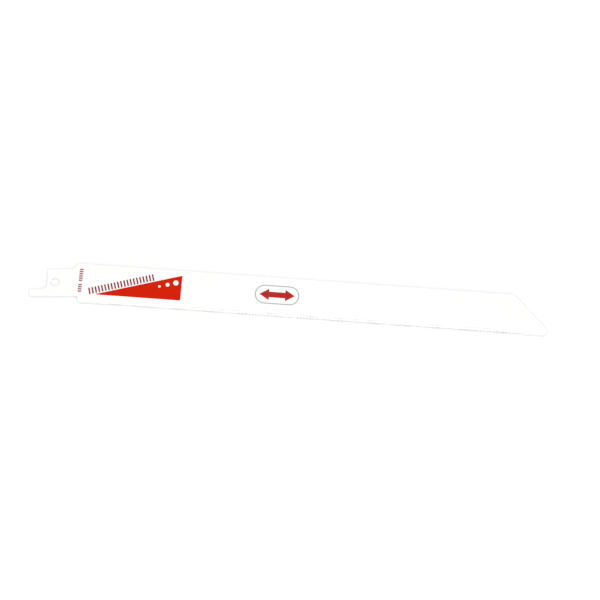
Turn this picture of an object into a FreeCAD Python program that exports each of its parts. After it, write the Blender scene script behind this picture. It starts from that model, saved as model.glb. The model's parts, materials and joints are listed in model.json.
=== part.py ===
import FreeCAD
import Part

import math
import os

# A reciprocating saw blade for metal, made from one strip of steel: a half-inch universal shank, a body canted
# towards its teeth, a sloped nose, and fine milled teeth with a wavy set.
# The origin is the centre of the shank's hole, halfway through the strip. +X runs along the stroke from the
# shank to the nose, +Y points away from the teeth, and +Z points out of one side of the strip.
# Lengths are in millimetres and angles in degrees.

# The whole blade
overall_length = 228.0  # end of the prong to the nose, along the stroke
thickness = 0.9
edge_break = 0.12  # narrow bevel along the punched edges

# The shank, with reaches measured from the hole along the stroke
shank_width = 12.7
hole_diameter = 4.2
prong_reach = 11.7
prong_width = 3.5
prong_upper_round = 0.8
prong_lower_round = 1.4
shoulder_reach = 3.7
shoulder_round = 0.4
shoulder_fillet = 2.4

# Where the shank widens into the body
ramp_reach = 7.4
ramp_angle = 48.0
ramp_round = 1.0
heel_reach = 10.0
heel_fillet = 0.8
heel_round = 0.3

# The body, which is turned towards its teeth about the point where its middle line meets the stroke axis, level
# with the heel
cant_angle = 4.3
body_width = 18.1  # back edge to the tooth tips
nose_angle = 45.0  # between the back edge and the sloped nose
nose_round = 2.2
nose_top_round = 0.5

# The teeth, whose rake faces look towards the shank
tooth_pitch = 1.41
rake_angle = 5.0
relief_angle = 30.0
gullet_radius = 0.2
heel_land = 13.0  # plain edge before the first tooth
nose_land = 8.0  # least plain edge between the last gullet and the rounded nose

# The wavy set, which bends the edge to one side and then the other
set_depth = 1.7  # width of the bent band, tips included
set_side = 0.18  # how far the tips stand out of either side
teeth_per_wave = 10

margin = 0.5  # how far a cutting shape runs past what it cuts

# The body's own frame has the back edge on its X axis and the teeth towards its -Y.
turn = FreeCAD.Rotation(FreeCAD.Vector(0, 0, 1), -cant_angle)
pivot = FreeCAD.Vector(heel_reach, 0, 0)
body_frame = FreeCAD.Placement(pivot + turn.multVec(FreeCAD.Vector(0, body_width / 2, 0)), turn)


def on_body(along, down, height=0.0):
    """The point that lies so far along the back edge and so far down from it."""
    return body_frame.multVec(FreeCAD.Vector(along, -down, height))


def in_body(x, y):
    """A point of the stroke's frame in the body's own frame."""
    return body_frame.inverse().multVec(FreeCAD.Vector(x, y, 0))


def outline(corners):
    """A closed face through corners of (point, radius), where a radius of 0 leaves the corner sharp."""
    count = len(corners)
    sides = []
    arcs = []
    for i, (corner, radius) in enumerate(corners):
        if radius == 0:
            arcs.append((corner, None, corner))
            continue
        before = (corners[i - 1][0] - corner).normalize()
        after = (corners[(i + 1) % count][0] - corner).normalize()
        half_turn = before.getAngle(after) / 2
        reach = radius / math.tan(half_turn)
        bisector = (before + after).normalize()
        middle = corner + bisector * (radius / math.sin(half_turn) - radius)
        arcs.append((corner + before * reach, middle, corner + after * reach))
    for i, (start, middle, end) in enumerate(arcs):
        if middle is not None:
            sides.append(Part.Arc(start, middle, end).toShape())
        sides.append(Part.makeLine(end, arcs[(i + 1) % count][0]))
    return Part.Face(Part.Wire(sides))


def slab(face, height):
    """A flat face in the middle plane thickened evenly to both sides."""
    lowered = face.translated(FreeCAD.Vector(0, 0, -height / 2))
    return lowered.extrude(FreeCAD.Vector(0, 0, height))


def heel_along():
    """Where the heel lies along the back edge. The heel is square to the body and starts at the shank's edge."""
    return in_body(heel_reach, -shank_width / 2).x


def ramp_top_along():
    """Where the ramp from the shank meets the back edge."""
    foot = in_body(ramp_reach, shank_width / 2)
    return foot.x - foot.y / math.tan(math.radians(ramp_angle + cant_angle))


def nose_round_along():
    """Where the rounded nose has its centre along the back edge, so that the blade has its overall length."""
    centre_x = overall_length - prong_reach - nose_round
    level_x = on_body(0, body_width - nose_round).x
    return (centre_x - level_x) / math.cos(math.radians(cant_angle))


def toothed_span():
    """Where the teeth start and end along the back edge, and how many gullets fit between."""
    start = heel_along() + heel_land
    count = int((nose_round_along() - nose_land - start) / tooth_pitch)
    return start, start + count * tooth_pitch, count


def blank():
    """The punched strip, with a shallow recess along its edge where the toothed band goes."""
    half_shank = shank_width / 2
    prong_top = prong_width - half_shank
    start, end, _ = toothed_span()
    nose_tip = nose_round_along() + nose_round / math.tan(math.radians(nose_angle / 2))
    nose_top = nose_tip - body_width / math.tan(math.radians(nose_angle))
    band_top = body_width - set_depth
    face = outline(
        [
            (FreeCAD.Vector(-prong_reach, -half_shank, 0), prong_lower_round),
            (FreeCAD.Vector(heel_reach, -half_shank, 0), heel_fillet),
            (on_body(heel_along(), body_width), heel_round),
            (on_body(start, body_width), 0),
            (on_body(start, band_top), 0),
            (on_body(end, band_top), 0),
            (on_body(end, body_width), 0),
            (on_body(nose_tip, body_width), nose_round),
            (on_body(nose_top, 0), nose_top_round),
            (on_body(ramp_top_along(), 0), ramp_round),
            (FreeCAD.Vector(ramp_reach, half_shank, 0), ramp_round),
            (FreeCAD.Vector(-shoulder_reach, half_shank, 0), shoulder_round),
            (FreeCAD.Vector(-shoulder_reach, prong_top, 0), shoulder_fillet),
            (FreeCAD.Vector(-prong_reach, prong_top, 0), prong_upper_round),
        ]
    )
    return break_rim(slab(face, thickness), start, end, band_top)


def break_rim(strip, start, end, band_top):
    """Bevels the strip's edges all round, apart from those of the recess for the toothed band."""
    rim = []
    for edge in strip.Edges:
        middle = edge.CenterOfMass
        place = in_body(middle.x, middle.y)
        upright = abs(middle.z) < thickness / 4
        in_recess = start - margin / 10 < place.x < end + margin / 10 and -place.y > band_top - margin / 10
        if not upright and not in_recess:
            rim.append(edge)
    return strip.makeChamfer(edge_break, rim)


def wave_curve(down, side):
    """A line of the toothed band's upper side, waving by so much to either side of the flat.

    The curve goes through each crest of the wave and each place where it crosses the flat.
    """
    start, end, count = toothed_span()
    quarters = 2 * max(1, round(2 * count / teeth_per_wave))
    points = []
    for i in range(quarters + 1):
        lift = side * math.sin(math.pi * i / 2)
        points.append(on_body(start + (end - start) * i / quarters, down, thickness / 2 + lift))
    curve = Part.BSplineCurve()
    curve.interpolate(Points=points, Parameters=range(quarters + 1))
    return curve.toShape()


def wavy_band():
    """The bent edge before its teeth are milled. The bend grows evenly from nothing at the body to the tips."""
    bend_line = wave_curve(body_width - set_depth, 0)
    past_tips = wave_curve(body_width + margin, set_side * (set_depth + margin) / set_depth)
    upper_side = Part.makeRuledSurface(bend_line, past_tips)
    return upper_side.extrude(FreeCAD.Vector(0, 0, -thickness))


def rack():
    """What is left of the edge between the gullets: sharp tips, and gullets with a round floor."""
    start, end, count = toothed_span()
    relief = math.tan(math.radians(relief_angle))
    rake = math.tan(math.radians(rake_angle))
    sharp_depth = tooth_pitch * relief / (1 - rake * relief)
    corners = []
    for i in range(count):
        tip = start + i * tooth_pitch
        corners.append((on_body(tip, body_width), 0))
        corners.append((on_body(tip + sharp_depth / relief, body_width - sharp_depth), gullet_radius))
    corners.append((on_body(end, body_width), 0))
    behind = body_width - set_depth - margin
    corners.append((on_body(end + margin, body_width), 0))
    corners.append((on_body(end + margin, behind), 0))
    corners.append((on_body(start - margin, behind), 0))
    corners.append((on_body(start - margin, body_width), 0))
    return slab(outline(corners), thickness + 4 * (set_side + margin))


def blade():
    """The finished blade: the blank with its toothed band and its hole."""
    toothed_band = wavy_band().common(rack())
    hole = slab(Part.Face(Part.Wire(Part.makeCircle(hole_diameter / 2))), thickness + margin)
    return blank().cut(hole).fuse(toothed_band)


os.makedirs("parts", exist_ok=True)
blade().exportStep("parts/saw_blade.step")
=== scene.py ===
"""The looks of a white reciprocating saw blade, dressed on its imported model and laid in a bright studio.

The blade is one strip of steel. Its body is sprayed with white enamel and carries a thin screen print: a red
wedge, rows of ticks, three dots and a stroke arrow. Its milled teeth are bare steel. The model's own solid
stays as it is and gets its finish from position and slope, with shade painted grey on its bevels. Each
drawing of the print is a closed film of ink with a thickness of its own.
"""

import json
import logging
import math
from collections.abc import Sequence
from dataclasses import dataclass, field
from enum import Enum
from typing import Any

import bmesh
import bpy
from mathutils import Matrix, Vector


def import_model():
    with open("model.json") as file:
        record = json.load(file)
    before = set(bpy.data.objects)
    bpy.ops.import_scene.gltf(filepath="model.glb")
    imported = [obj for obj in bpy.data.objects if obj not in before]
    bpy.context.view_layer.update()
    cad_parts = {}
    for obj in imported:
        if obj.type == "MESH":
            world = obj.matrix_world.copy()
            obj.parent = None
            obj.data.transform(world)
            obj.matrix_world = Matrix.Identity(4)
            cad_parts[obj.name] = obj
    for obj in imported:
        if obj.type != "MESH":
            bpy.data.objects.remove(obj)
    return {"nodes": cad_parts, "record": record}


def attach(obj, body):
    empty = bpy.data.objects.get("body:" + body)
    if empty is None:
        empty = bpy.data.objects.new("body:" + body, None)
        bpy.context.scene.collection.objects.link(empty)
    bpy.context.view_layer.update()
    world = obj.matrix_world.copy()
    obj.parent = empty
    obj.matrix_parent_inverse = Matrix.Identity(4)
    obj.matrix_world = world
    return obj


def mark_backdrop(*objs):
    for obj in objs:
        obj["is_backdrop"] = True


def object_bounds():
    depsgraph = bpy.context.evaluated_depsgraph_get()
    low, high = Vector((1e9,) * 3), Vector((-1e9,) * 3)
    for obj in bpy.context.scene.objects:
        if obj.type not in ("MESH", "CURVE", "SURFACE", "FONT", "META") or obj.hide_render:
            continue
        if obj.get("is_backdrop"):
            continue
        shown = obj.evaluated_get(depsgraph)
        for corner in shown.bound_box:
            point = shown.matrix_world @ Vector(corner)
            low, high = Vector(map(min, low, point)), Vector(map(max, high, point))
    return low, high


LOG = logging.getLogger("saw_blade")

MM = 0.001  # one millimetre in Blender's metres
CORNER_STEPS = 4  # short sides in a small rounding
Place = tuple[float, float]  # millimetres along the body's back edge, and down from it towards the teeth
Size = tuple[float, float]  # a length and a height in millimetres
Span = tuple[float, float]  # the two ends of a range
Point = tuple[float, float, float]
Loop = list[Place]
Rim = list[bmesh.types.BMVert]
Tree = bpy.types.NodeTree
Socket = bpy.types.NodeSocket
Inputs = dict[str | int, Any]  # a node's values and links, by the name or number of the input
NOISE_SPAN: Inputs = {"From Min": 0.35, "From Max": 0.65}  # nearly all of a noise's values lie between these


def linear(hex_colour: str) -> tuple[float, float, float, float]:
    """Turns an sRGB colour into the linear colour that shaders take.

    Args:
        hex_colour: six hex digits, such as "F1F1F0".

    Returns:
        Linear red, green and blue, and an alpha of 1.
    """
    channels = [int(hex_colour[i : i + 2], 16) / 255 for i in (0, 2, 4)]
    red, green, blue = (c / 12.92 if c <= 0.04045 else ((c + 0.055) / 1.055) ** 2.4 for c in channels)
    return red, green, blue, 1.0


def add_node(tree: Tree, kind: str, inputs: Inputs | None = None, **settings: Any) -> bpy.types.Node:
    """Adds a shader node with its settings, values and links.

    Args:
        tree: the material's node tree.
        kind: the node's type, such as "ShaderNodeMath".
        inputs: for an input's name or number, a value, or a socket to link to it.
        **settings: the node's own properties, such as operation="MULTIPLY".

    Returns:
        The new node.
    """
    node = tree.nodes.new(kind)
    for name, value in settings.items():
        setattr(node, name, value)
    for key, value in (inputs or {}).items():
        if isinstance(value, Socket):
            tree.links.new(value, node.inputs[key])
        else:
            node.inputs[key].default_value = value
    return node


@dataclass(frozen=True)
class Mottle:
    """An irregular pattern: how large its patches are, and how many finer layers break them up."""

    size_mm: float
    layers: float

    def inputs(self, places: Socket) -> Inputs:
        """The inputs of a noise with this pattern, for places in millimetres."""
        return {"Vector": places, "Scale": 1 / self.size_mm, "Detail": self.layers}


@dataclass(frozen=True)
class BodyFrame:
    """The blade's canted body, as places along its back edge and down from it, in millimetres."""

    half_thickness: float
    heel_reach: float = 10.0  # from the shank's hole to where the body starts
    width: float = 18.1
    cant_deg: float = 4.3

    @property
    def turn(self) -> Matrix:
        """The turn from the body's frame to the stroke's frame."""
        return Matrix.Rotation(math.radians(-self.cant_deg), 3, "Z")

    @property
    def foot(self) -> Vector:
        """The point of the back edge that the places are measured from."""
        return Vector((self.heel_reach, 0, 0)) + self.turn @ Vector((0, self.width / 2, 0))

    def point(self, along: float, down: float, height: float) -> Vector:
        """Finds a place of the body in the model's frame.

        Args:
            along: millimetres along the back edge.
            down: millimetres from the back edge towards the teeth.
            height: millimetres above the strip's middle plane.

        Returns:
            The point in metres.
        """
        return (self.foot + self.turn @ Vector((along, -down, height))) * MM

    def places(self, tree: Tree) -> Socket:
        """Adds nodes that give the body's own place in millimetres.

        Args:
            tree: the material's node tree.

        Returns:
            A vector socket: along the back edge, up from it, and out of the printed side.
        """
        inverse = self.turn.transposed()
        position = add_node(tree, "ShaderNodeTexCoord").outputs["Object"]
        mapping = {
            "Vector": position,
            "Location": inverse @ -self.foot,
            "Rotation": (0, 0, math.radians(self.cant_deg)),
            "Scale": (1 / MM, 1 / MM, 1 / MM),
        }
        return add_node(tree, "ShaderNodeMapping", mapping).outputs["Vector"]


@dataclass(frozen=True)
class SprayedEnamel:
    """White enamel sprayed and baked on steel, with teeth that were milled after it and left bare."""

    # Enamel is bright and even, with a soft satin gloss and a faint orange peel, drawn deeper than the real
    # few thousandths so that it shows in even light. Its bevels are painted grey: partly the enamel, which
    # draws back from sharp corners as it bakes, and partly painted shade that draws the blade's outlines.
    enamel: str = "E7E7E6"
    thin_enamel_and_shade: str = "B8B8B7"
    thin_and_shade_patches: Mottle = Mottle(0.77, layers=4.0)
    thin_and_shade_least: float = 0.45
    enamel_roughness: float = 0.36
    haze: Mottle = Mottle(8.3, layers=4.0)
    haze_swing: float = 0.05
    peel: Mottle = Mottle(0.9, layers=2.0)
    peel_height_mm: float = 0.05
    # Tool steel is a bright, nearly neutral grey. The milled flanks have cutter lines through the strip, and
    # its rolled sides have scratches along it. Both are finer than 0.05 mm, and are drawn coarser to show.
    steel: str = "F1F1F0"
    steel_roughness: float = 0.42
    steel_patches: Mottle = Mottle(1.7, layers=5.0)
    steel_tones: Span = (0.94, 1.02)
    grain: Mottle = Mottle(0.11, layers=3.0)
    grain_tones: Span = (0.84, 1.02)
    grain_height_mm: float = 0.006
    flank_run: Point = (0.7, 0.7, 0.0)  # a diagonal of the strip that both flanks of a tooth run along
    scratch_stretch: Point = (0.05, 1.0, 0.0)  # a scratch changes far more slowly along the strip than across
    # The bare band starts a little above the gullets, and its upper edge wanders as a masked edge does.
    bare_from_mm: float = 17.05
    bare_start_mm: float = 12.4
    bare_end_mm: float = 197.5
    bare_wander_mm: float = 0.16
    bare_waves: Mottle = Mottle(1.25, layers=3.0)
    # A bevel leans between the flat sides, which face straight out (1), and the sheared walls (0). Its mask
    # of thin enamel and painted shade is empty and then full at these slopes, coming from the sides and from
    # the walls.
    bevel_slopes: tuple[Span, ...] = ((0.97, 0.8), (0.2, 0.6))

    def facing(self, tree: Tree) -> Socket:
        """Adds nodes that tell how square each face is to the strip's sides.

        Args:
            tree: the material's node tree.

        Returns:
            A socket that is 1 on the flat sides and 0 on walls and flanks.
        """
        normal = add_node(tree, "ShaderNodeTexCoord").outputs["Normal"]
        slope = add_node(tree, "ShaderNodeSeparateXYZ", {"Vector": normal}).outputs["Z"]
        return add_node(tree, "ShaderNodeMath", {0: slope}, operation="ABSOLUTE").outputs[0]

    def band(self, tree: Tree, places: Socket) -> Socket:
        """Adds the mask of the bare toothed band.

        Args:
            tree: the material's node tree.
            places: the body's own places in millimetres.

        Returns:
            A socket that is 1 on bare steel and 0 on enamel.
        """
        split = add_node(tree, "ShaderNodeSeparateXYZ", {"Vector": places})
        wander = add_node(tree, "ShaderNodeTexNoise", self.bare_waves.inputs(places)).outputs["Fac"]
        shift = {0: wander, 1: self.bare_wander_mm, 2: split.outputs["Y"]}
        height = add_node(tree, "ShaderNodeMath", shift, operation="MULTIPLY_ADD").outputs[0]
        edges = (
            (height, -self.bare_from_mm + self.bare_wander_mm, -self.bare_from_mm),
            (split.outputs["X"], self.bare_start_mm, self.bare_start_mm + self.bare_wander_mm),
            (split.outputs["X"], self.bare_end_mm, self.bare_end_mm - self.bare_wander_mm),
        )
        ramps = []
        for value, none_at, full_at in edges:
            limits = {"Value": value, "From Min": none_at, "From Max": full_at}
            ramp = add_node(tree, "ShaderNodeMapRange", limits, interpolation_type="SMOOTHSTEP")
            ramps.append(ramp.outputs["Result"])
        mask = ramps[0]
        for ramp in ramps[1:]:
            mask = add_node(tree, "ShaderNodeMath", {0: mask, 1: ramp}, operation="MULTIPLY").outputs[0]
        return mask

    def corners(self, tree: Tree, places: Socket, facing: Socket) -> Socket:
        """Adds the mask of the broken corners, where the enamel is thin and shade is painted.

        Args:
            tree: the material's node tree.
            places: the body's own places in millimetres.
            facing: how square each face is to the strip's sides.

        Returns:
            A socket that is 0 on the flat sides and on the sheared walls, and up to 1 on the bevels between.
        """
        patches = add_node(tree, "ShaderNodeTexNoise", self.thin_and_shade_patches.inputs(places)).outputs["Fac"]
        spread = {"Value": patches, "To Min": self.thin_and_shade_least, **NOISE_SPAN}
        mask = add_node(tree, "ShaderNodeMapRange", spread).outputs["Result"]
        for none_at, full_at in self.bevel_slopes:
            limits = {"Value": facing, "From Min": none_at, "From Max": full_at}
            ramp = add_node(tree, "ShaderNodeMapRange", limits).outputs["Result"]
            mask = add_node(tree, "ShaderNodeMath", {0: mask, 1: ramp}, operation="MULTIPLY").outputs[0]
        return mask

    def lines(self, tree: Tree, places: Socket, facing: Socket) -> Socket:
        """Adds the lines in the bare steel: through the strip on the flanks, and along it on its sides.

        Args:
            tree: the material's node tree.
            places: the body's own places in millimetres.
            facing: how square each face is to the strip's sides.

        Returns:
            A socket that wanders between 0 and 1 from line to line.
        """
        run = {0: places, 1: self.flank_run}
        across = add_node(tree, "ShaderNodeVectorMath", run, operation="DOT_PRODUCT").outputs["Value"]
        stretch = {0: places, 1: self.scratch_stretch}
        along = add_node(tree, "ShaderNodeVectorMath", stretch, operation="MULTIPLY").outputs["Vector"]
        routes = {0: facing, 4: across, 5: along}
        route = add_node(tree, "ShaderNodeMix", routes, data_type="VECTOR").outputs[1]
        return add_node(tree, "ShaderNodeTexNoise", self.grain.inputs(route)).outputs["Fac"]

    def steel_colour(self, tree: Tree, places: Socket, lines: Socket) -> Socket:
        """Adds the bare steel's colour, a little darker in some patches and lines.

        Args:
            tree: the material's node tree.
            places: the body's own places in millimetres.
            lines: the lines in the steel.

        Returns:
            A colour socket.
        """
        patches = add_node(tree, "ShaderNodeTexNoise", self.steel_patches.inputs(places)).outputs["Fac"]
        tones = []
        for value, (least, most) in ((patches, self.steel_tones), (lines, self.grain_tones)):
            spread = {"Value": value, "To Min": least, "To Max": most, **NOISE_SPAN}
            tones.append(add_node(tree, "ShaderNodeMapRange", spread).outputs["Result"])
        tone = add_node(tree, "ShaderNodeMath", {0: tones[0], 1: tones[1]}, operation="MULTIPLY").outputs[0]
        toned = {0: linear(self.steel)[:3], "Scale": tone}
        return add_node(tree, "ShaderNodeVectorMath", toned, operation="SCALE").outputs["Vector"]

    def roughness(self, tree: Tree, places: Socket, bare: Socket) -> Socket:
        """Adds the roughness, which drifts a little over the enamel and is even on the steel.

        Args:
            tree: the material's node tree.
            places: the body's own places in millimetres.
            bare: the mask of the bare band.

        Returns:
            A number socket.
        """
        haze = add_node(tree, "ShaderNodeTexNoise", self.haze.inputs(places)).outputs["Fac"]
        least, most = self.enamel_roughness - self.haze_swing, self.enamel_roughness + self.haze_swing
        spread = {"Value": haze, "To Min": least, "To Max": most}
        gloss = add_node(tree, "ShaderNodeMapRange", spread).outputs["Result"]
        mix = {0: bare, 2: gloss, 3: self.steel_roughness}
        return add_node(tree, "ShaderNodeMix", mix).outputs[0]

    def relief(self, tree: Tree, places: Socket, bare: Socket, lines: Socket) -> Socket:
        """Adds the fine relief: the enamel's peel all over, and lines where the steel is bare.

        Args:
            tree: the material's node tree.
            places: the body's own places in millimetres.
            bare: the mask of the bare band.
            lines: the lines in the steel.

        Returns:
            A normal socket.
        """
        peel = add_node(tree, "ShaderNodeTexNoise", self.peel.inputs(places)).outputs["Fac"]
        soft = {"Height": peel, "Distance": self.peel_height_mm * MM}
        peeled = add_node(tree, "ShaderNodeBump", soft).outputs["Normal"]
        sharp = {"Height": lines, "Strength": bare, "Distance": self.grain_height_mm * MM, "Normal": peeled}
        return add_node(tree, "ShaderNodeBump", sharp).outputs["Normal"]

    def build(self, body: BodyFrame) -> bpy.types.Material:
        """Makes the material.

        Args:
            body: the body's frame, which places the bare band.

        Returns:
            The new material.
        """
        material = bpy.data.materials.new("sprayed_white_enamel_and_milled_steel")
        material.use_nodes = True
        tree = material.node_tree
        shader = tree.nodes["Principled BSDF"]
        places = body.places(tree)
        facing = self.facing(tree)
        bare = self.band(tree, places)
        thin = self.corners(tree, places, facing)
        lines = self.lines(tree, places, facing)
        steel = self.steel_colour(tree, places, lines)
        # The bevels take a grey that is partly thin enamel and partly painted shade.
        coats_and_shade = {0: thin, 6: linear(self.enamel), 7: linear(self.thin_enamel_and_shade)}
        coat_and_shade = add_node(tree, "ShaderNodeMix", coats_and_shade, data_type="RGBA").outputs[2]
        colour = add_node(tree, "ShaderNodeMix", {0: bare, 6: coat_and_shade, 7: steel}, data_type="RGBA").outputs[2]
        tree.links.new(colour, shader.inputs["Base Color"])
        tree.links.new(bare, shader.inputs["Metallic"])
        tree.links.new(self.roughness(tree, places, bare), shader.inputs["Roughness"])
        tree.links.new(self.relief(tree, places, bare, lines), shader.inputs["Normal"])
        return material


@dataclass(frozen=True)
class ScreenInk:
    """A film of ink pushed through a mesh screen: flat colour, a soft gloss and the mesh's faint dimples."""

    name: str
    colour: str
    roughness: float = 0.5
    specular: float = 0.03
    # The squeegee leaves the film a little thicker in some places than in others.
    clouds: Mottle = Mottle(2.0, layers=5.0)
    cloud_tones: Span = (0.92, 1.06)
    # A screen of about 0.1 mm is too fine to show, so its dimples are drawn at twice that.
    mesh_mm: float = 0.2
    mesh_height_mm: float = 0.002
    mesh_disorder: float = 0.25

    def build(self, body: BodyFrame) -> bpy.types.Material:
        """Makes the material.

        Args:
            body: the body's frame, which the mesh lines follow.

        Returns:
            The new material.
        """
        material = bpy.data.materials.new(self.name)
        material.use_nodes = True
        tree = material.node_tree
        shader = tree.nodes["Principled BSDF"]
        shader.inputs["Roughness"].default_value = self.roughness
        shader.inputs["Specular IOR Level"].default_value = self.specular
        places = body.places(tree)
        cloud = add_node(tree, "ShaderNodeTexNoise", self.clouds.inputs(places)).outputs["Fac"]
        spread = {"Value": cloud, "To Min": self.cloud_tones[0], "To Max": self.cloud_tones[1]}
        tone = add_node(tree, "ShaderNodeMapRange", spread).outputs["Result"]
        toned = {0: linear(self.colour)[:3], "Scale": tone}
        colour = add_node(tree, "ShaderNodeVectorMath", toned, operation="SCALE").outputs["Vector"]
        tree.links.new(colour, shader.inputs["Base Color"])
        cells = {"Vector": places, "Scale": 1 / self.mesh_mm, "Randomness": self.mesh_disorder}
        dimples = add_node(tree, "ShaderNodeTexVoronoi", cells).outputs["Distance"]
        relief = {"Height": dimples, "Distance": self.mesh_height_mm * MM}
        printed = add_node(tree, "ShaderNodeBump", relief).outputs["Normal"]
        tree.links.new(printed, shader.inputs["Normal"])
        return material


@dataclass(frozen=True)
class StudioPaper:
    """A sweep of white paper: dead matt, with a tooth too fine to see from the camera."""

    colour: str = "F6F6F6"
    roughness: float = 0.9
    specular: float = 0.1

    def build(self) -> bpy.types.Material:
        """Makes the material.

        Returns:
            The new material.
        """
        material = bpy.data.materials.new("matt_white_paper")
        material.use_nodes = True
        shader = material.node_tree.nodes["Principled BSDF"]
        shader.inputs["Base Color"].default_value = linear(self.colour)
        shader.inputs["Roughness"].default_value = self.roughness
        shader.inputs["Specular IOR Level"].default_value = self.specular
        return material


class Ink(Enum):
    """The inks of the print, each with the record's slot that it belongs to and its finish."""

    RED = ("red_ink", ScreenInk("red_screen_ink", "C41C02"))
    DEEP_RED = ("red_ink", ScreenInk("deep_red_screen_ink", "A92926"))
    MAROON = ("maroon_ink", ScreenInk("maroon_screen_ink", "861B28"))
    GREY = ("grey_ink", ScreenInk("grey_screen_ink", "A1A2A4"))
    WHITE = ("white_ink", ScreenInk("white_screen_ink", "F6F4F0"))

    @property
    def slot(self) -> str:
        """The record's material slot."""
        return self.value[0]

    @property
    def finish(self) -> ScreenInk:
        """What the ink looks like."""
        return self.value[1]


def rounded(corners: Sequence[Place], radius: float, steps: int = CORNER_STEPS) -> Loop:
    """Rounds the corners of an outline with arcs, as the edge of a film of ink is.

    Args:
        corners: the outline's corners in order.
        radius: the rounding in millimetres.
        steps: how many short sides each rounding has.

    Returns:
        The rounded outline.
    """
    loop: Loop = []
    for i, corner in enumerate(corners):
        here = Vector(corner)
        before = (Vector(corners[i - 1]) - here).normalized()
        after = (Vector(corners[(i + 1) % len(corners)]) - here).normalized()
        half = before.angle(after) / 2
        centre = here + (before + after).normalized() * radius / math.sin(half)
        start = (here + before * radius / math.tan(half) - centre).normalized()
        end = (here + after * radius / math.tan(half) - centre).normalized()
        loop += [tuple(centre + radius * start.slerp(end, step / steps)) for step in range(steps + 1)]
    return loop


def bar(centre: Place, size: Size, angle_deg: float, radius: float, steps: int = CORNER_STEPS) -> Loop:
    """Outlines a straight bar with rounded corners.

    Args:
        centre: its middle.
        size: its length and its height.
        angle_deg: how far its length climbs towards the back edge.
        radius: the rounding of its corners.
        steps: how many short sides each rounding has.

    Returns:
        The bar's outline.
    """
    angle = math.radians(angle_deg)
    corners = []
    for side, end in ((-1, -1), (1, -1), (1, 1), (-1, 1)):
        u, v = side * size[0] / 2, end * size[1] / 2
        along = centre[0] + u * math.cos(angle) + v * math.sin(angle)
        down = centre[1] - u * math.sin(angle) + v * math.cos(angle)
        corners.append((along, down))
    return rounded(corners, radius, steps)


@dataclass
class InkFilm:
    """One drawing of the print, as closed films of ink that stand a hair above the enamel."""

    name: str
    ink: Ink
    body: BodyFrame
    layer: int = 0  # 1 for ink printed over another colour
    film_mm: float = 0.03
    sunk_mm: float = 0.01  # how far it reaches into what it is printed on
    pads: list[Loop] = field(default_factory=list)
    rings: list[tuple[Loop, Loop]] = field(default_factory=list)

    def heights(self) -> Span:
        """The film's lower and upper side above the strip's middle plane, in millimetres."""
        top = self.body.half_thickness + (self.layer + 1) * self.film_mm
        return top - self.film_mm - self.sunk_mm, top

    def rim(self, mesh: bmesh.types.BMesh, loop: Loop, height: float) -> Rim:
        """Adds an outline's points at one height and returns them."""
        return [mesh.verts.new(self.body.point(along, down, height)) for along, down in loop]

    def wall(self, mesh: bmesh.types.BMesh, first: Rim, second: Rim) -> None:
        """Joins two rims of equal count with a band of faces.

        Args:
            mesh: the film's mesh.
            first: the points of one rim, in order.
            second: the points of the other.
        """
        for i, vert in enumerate(first):
            following = (i + 1) % len(first)
            mesh.faces.new((vert, first[following], second[following], second[i]))

    def build(self) -> bpy.types.Object:
        """Makes the film's mesh and lays it on the blade.

        Returns:
            The new piece.
        """
        low, high = self.heights()
        mesh = bmesh.new()
        for loop in self.pads:
            lower, upper = self.rim(mesh, loop, low), self.rim(mesh, loop, high)
            mesh.faces.new(lower)
            mesh.faces.new(upper)
            self.wall(mesh, lower, upper)
        for outer, inner in self.rings:
            rims = [self.rim(mesh, outer, low), self.rim(mesh, outer, high)]
            rims += [self.rim(mesh, inner, high), self.rim(mesh, inner, low)]
            for i, rim in enumerate(rims):
                self.wall(mesh, rim, rims[(i + 1) % len(rims)])
        bmesh.ops.recalc_face_normals(mesh, faces=mesh.faces)
        data = bpy.data.meshes.new(self.name)
        mesh.to_mesh(data)
        mesh.free()
        piece = bpy.data.objects.new(self.name, data)
        bpy.context.scene.collection.objects.link(piece)
        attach(piece, "root")
        return piece


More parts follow.
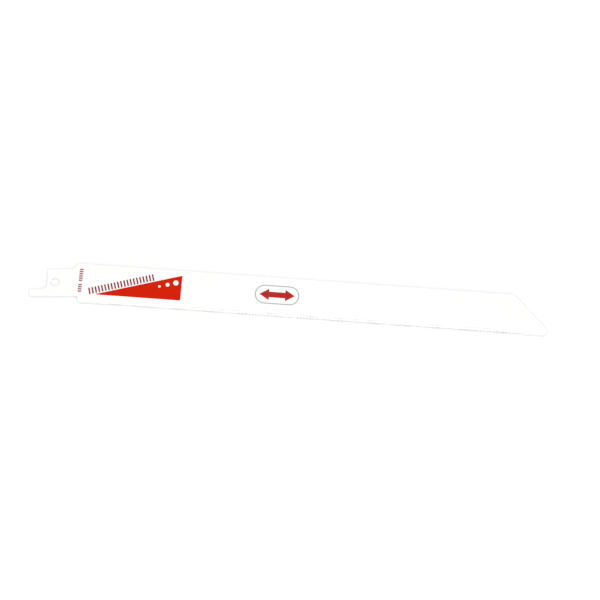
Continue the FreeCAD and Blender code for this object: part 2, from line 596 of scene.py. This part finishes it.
@dataclass
class PrintedSide:
    """The print on the body's upper side. All sizes are in millimetres."""

    body: BodyFrame
    corner: float = 0.06
    arc_steps: int = 12

    # The wedge, a right triangle whose long side runs parallel to the teeth
    wedge_tip: float = 7.6
    wedge_end: float = 45.75
    wedge_foot: float = 13.92
    wedge_height: float = 11.45
    wedge_corner: float = 0.15  # a screen can't hold the thin tip to its point

    # The ticks above the wedge
    tick_size: Size = (0.66, 3.0)
    tick_pitch: float = 1.43
    tick_count: int = 21
    tick_start: float = -1.6
    tick_gap: float = 0.46

    # The three dots in the wedge, from a thin rod's to a thick one's
    dots_middle: Place = (39.6, 7.1)
    dot_sizes: tuple[float, ...] = (1.1, 1.7, 2.3)
    dot_pitch: float = 3.7

    # The column of short ticks beside the shank
    column_along: float = 1.1
    column_from: float = 2.9
    column_groups: tuple[int, ...] = (6, 4)
    column_pitch: float = 1.0
    column_tick: Size = (1.6, 0.53)

    # The stroke arrow in its frame
    arrow_middle: Place = (88.1, 8.2)
    arrow_length: float = 15.6
    arrow_head: Size = (4.2, 5.2)
    arrow_shaft: float = 2.5
    frame_size: Size = (19.6, 8.6)
    frame_line: float = 0.42

    @property
    def climb_deg(self) -> float:
        """How steeply the wedge's upper side climbs towards the back edge."""
        return math.degrees(math.atan2(self.wedge_height, self.wedge_end - self.wedge_tip))

    def on_slope(self, middle: Place, forward: float, up: float) -> Place:
        """Finds a place beside another, in directions along and across the wedge's upper side.

        Args:
            middle: the place to start from.
            forward: millimetres along the slope, towards the nose.
            up: millimetres square to the slope, towards the back edge.

        Returns:
            The place on the body.
        """
        angle = math.radians(self.climb_deg)
        along = middle[0] + forward * math.cos(angle) - up * math.sin(angle)
        down = middle[1] - forward * math.sin(angle) - up * math.cos(angle)
        return along, down

    def wedge(self) -> InkFilm:
        """Draws the solid red wedge.

        Returns:
            The film.
        """
        corners = [
            (self.wedge_tip, self.wedge_foot),
            (self.wedge_end, self.wedge_foot),
            (self.wedge_end, self.wedge_foot - self.wedge_height),
        ]
        return InkFilm("print_wedge", Ink.RED, self.body, pads=[rounded(corners, self.wedge_corner)])

    def gauge(self) -> InkFilm:
        """Draws the row of ticks along the wedge's upper side.

        Returns:
            The film.
        """
        film = InkFilm("print_tick_gauge", Ink.MAROON, self.body)
        tip = (self.wedge_tip, self.wedge_foot)
        for i in range(self.tick_count):
            forward = self.tick_start + i * self.tick_pitch
            centre = self.on_slope(tip, forward, self.tick_gap + self.tick_size[1] / 2)
            film.pads.append(bar(centre, self.tick_size, self.climb_deg, self.corner))
        return film

    def shank_column(self) -> InkFilm:
        """Draws the column of short ticks where the body starts.

        Returns:
            The film.
        """
        film = InkFilm("print_shank_ticks", Ink.MAROON, self.body)
        row = 0
        for group in self.column_groups:
            for _ in range(group):
                centre = (self.column_along, self.column_from + row * self.column_pitch)
                film.pads.append(bar(centre, self.column_tick, 0, self.corner))
                row += 1
            row += 1  # an empty row between the groups
        return film

    def dots(self) -> InkFilm:
        """Draws white dots that grow with the wedge, as the rods that the blade cuts.

        Returns:
            The film.
        """
        film = InkFilm("print_rod_dots", Ink.WHITE, self.body, layer=1)
        turns = [math.pi * i / 2 / self.arc_steps for i in range(4 * self.arc_steps)]
        for number, size in enumerate(self.dot_sizes):
            forward = (number - (len(self.dot_sizes) - 1) / 2) * self.dot_pitch
            along, down = self.on_slope(self.dots_middle, forward, 0)
            film.pads.append([(along + size / 2 * math.cos(t), down + size / 2 * math.sin(t)) for t in turns])
        return film

    def arrow(self) -> InkFilm:
        """Draws the red arrow with two heads that shows the stroke.

        Returns:
            The film.
        """
        half = self.arrow_length / 2
        neck = half - self.arrow_head[0]
        # A quarter of the outline, from the tip to the shaft, and then its three mirror images
        quarter = [(half, 0.0), (neck, self.arrow_head[1] / 2), (neck, self.arrow_shaft / 2)]
        outline = quarter + [(-x, y) for x, y in reversed(quarter)]
        outline += [(-x, -y) for x, y in quarter[1:]] + [(x, -y) for x, y in reversed(quarter[1:])]
        corners = [(self.arrow_middle[0] + x, self.arrow_middle[1] + y) for x, y in outline]
        return InkFilm("print_stroke_arrow", Ink.DEEP_RED, self.body, pads=[rounded(corners, self.corner)])

    def arrow_frame(self) -> InkFilm:
        """Draws the thin grey line with round ends that frames the arrow.

        Returns:
            The film.
        """
        loops = []
        for inset in (0, self.frame_line):
            size = (self.frame_size[0] - 2 * inset, self.frame_size[1] - 2 * inset)
            loops.append(bar(self.arrow_middle, size, 0, size[1] / 2, self.arc_steps))
        return InkFilm("print_arrow_frame", Ink.GREY, self.body, rings=[(loops[0], loops[1])])

    def build(self) -> None:
        """Prints every film in its ink."""
        finishes = {ink: ink.finish.build(self.body) for ink in Ink}
        drawings = (self.wedge, self.gauge, self.shank_column, self.dots, self.arrow, self.arrow_frame)
        for draw in drawings:
            film = draw()
            piece = film.build()
            piece.data.materials.append(finishes[film.ink])
            LOG.info("printed %s in %s", piece.name, film.ink.finish.name)


@dataclass
class BladeStrip:
    """The model's own solid, which keeps its shape and gets its finish."""

    node: bpy.types.Object
    body: BodyFrame
    finish: SprayedEnamel = SprayedEnamel()

    def dress(self) -> None:
        """Gives the solid its enamel and its bare teeth."""
        material = self.finish.build(self.body)
        self.node.data.materials.clear()
        self.node.data.materials.append(material)
        LOG.info("dressed %s in %s", self.node.name, material.name)


@dataclass(frozen=True)
class Softbox:
    """A square soft light that faces the blade. Its sizes are in metres and its power in watts."""

    name: str
    place: Point  # from the blade's middle
    side: float
    power: float

    def hang(self, aim: Vector) -> None:
        """Hangs the light.

        Args:
            aim: the blade's middle, in metres.
        """
        data = bpy.data.lights.new(self.name, "AREA")
        data.size = self.side
        data.energy = self.power
        offset = Vector(self.place)
        light = bpy.data.objects.new(self.name, data)
        light.location = aim + offset
        light.rotation_euler = (-offset).to_track_quat("-Z", "Y").to_euler()
        bpy.context.scene.collection.objects.link(light)


@dataclass
class Studio:
    """A bright studio: a white floor under the blade, an even white surround and two soft lights.

    Its sizes are in metres.
    """

    floor_height: float
    floor_size: float = 6.0
    surround: str = "FFFFFF"
    surround_strength: float = 0.96
    softboxes: tuple[Softbox, ...] = (
        Softbox("top_softbox", place=(0.0, 0.42, 1.6), side=0.9, power=4.2),
        Softbox("key_softbox", place=(0.5, -1.85, 0.9), side=0.7, power=13.0),
    )

    def floor(self) -> bpy.types.Object:
        """Lays the white floor that the blade rests on.

        Returns:
            Nothing: mark_backdrop gives back no value, though it marks the floor as stage.
        """
        half = self.floor_size / 2
        data = bpy.data.meshes.new("floor")
        corners = [(-half, -half), (half, -half), (half, half), (-half, half)]
        data.from_pydata([(x, y, self.floor_height) for x, y in corners], [], [(0, 1, 2, 3)])
        data.materials.append(StudioPaper().build())
        floor = bpy.data.objects.new("floor", data)
        bpy.context.scene.collection.objects.link(floor)
        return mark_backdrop(floor)

    def build(self, aim: Vector) -> None:
        """Builds the floor, the surround and the lights.

        Args:
            aim: the blade's middle, in metres.
        """
        self.floor()
        world = bpy.data.worlds.new("white_surround")
        world.use_nodes = True
        background = world.node_tree.nodes["Background"]
        background.inputs["Color"].default_value = linear(self.surround)
        background.inputs["Strength"].default_value = self.surround_strength
        scene = bpy.context.scene
        scene.world = world
        scene.view_settings.view_transform = "Standard"
        for softbox in self.softboxes:
            softbox.hang(aim)
        LOG.info("lit the studio")


@dataclass(frozen=True)
class PhotoCamera:
    """The camera at the photograph's angle, which looks almost straight down on the printed side."""

    aim_mm: Point = (108.0, -7.92, 0.0)
    distance_mm: float = 900.0
    elevation_deg: float = 73.0
    picture_px: float = 600.0  # the photograph's width
    focal_px: float = 2044.6  # fitted to the blade's outline in it
    sensor_mm: float = 36.0
    clip_start_mm: float = 5.0

    def build(self) -> None:
        """Sets up the camera."""
        data = bpy.data.cameras.new("photo_camera")
        data.sensor_width = self.sensor_mm
        data.clip_start = self.clip_start_mm * MM
        data.lens = self.focal_px / self.picture_px * self.sensor_mm
        camera = bpy.data.objects.new("photo_camera", data)
        elevation = math.radians(self.elevation_deg)
        back = Vector((0, -math.cos(elevation), math.sin(elevation)))
        camera.location = (Vector(self.aim_mm) + back * self.distance_mm) * MM
        camera.rotation_euler = (math.pi / 2 - elevation, 0, 0)
        bpy.context.scene.collection.objects.link(camera)
        bpy.context.scene.camera = camera
        LOG.info("set the camera")


def half_thickness(record: dict[str, Any]) -> float:
    """The strip's half thickness in millimetres, from the record's mount on its flat side."""
    face = next(mount for mount in record["mounts"] if mount["name"] == "shank_face")
    return face["pos_m"][2] / MM


def box_lists() -> list[list[float]]:
    """The whole object's box as plain lists: its lowest corner and its highest."""
    return [list(corner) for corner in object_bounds()]


def main() -> None:
    """Loads the model, dresses it, prints on it and sets the studio."""
    logging.basicConfig(level=logging.INFO, format="%(name)s: %(message)s")
    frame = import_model()
    cad_box = box_lists()
    low, high = (Vector(corner) for corner in cad_box)
    body = BodyFrame(half_thickness(frame["record"]))
    PhotoCamera().build()
    BladeStrip(frame["nodes"]["saw_blade"], body).dress()
    PrintedSide(body).build()
    Studio(floor_height=low.z).build((low + high) / 2)


if __name__ == "__main__":
    main()
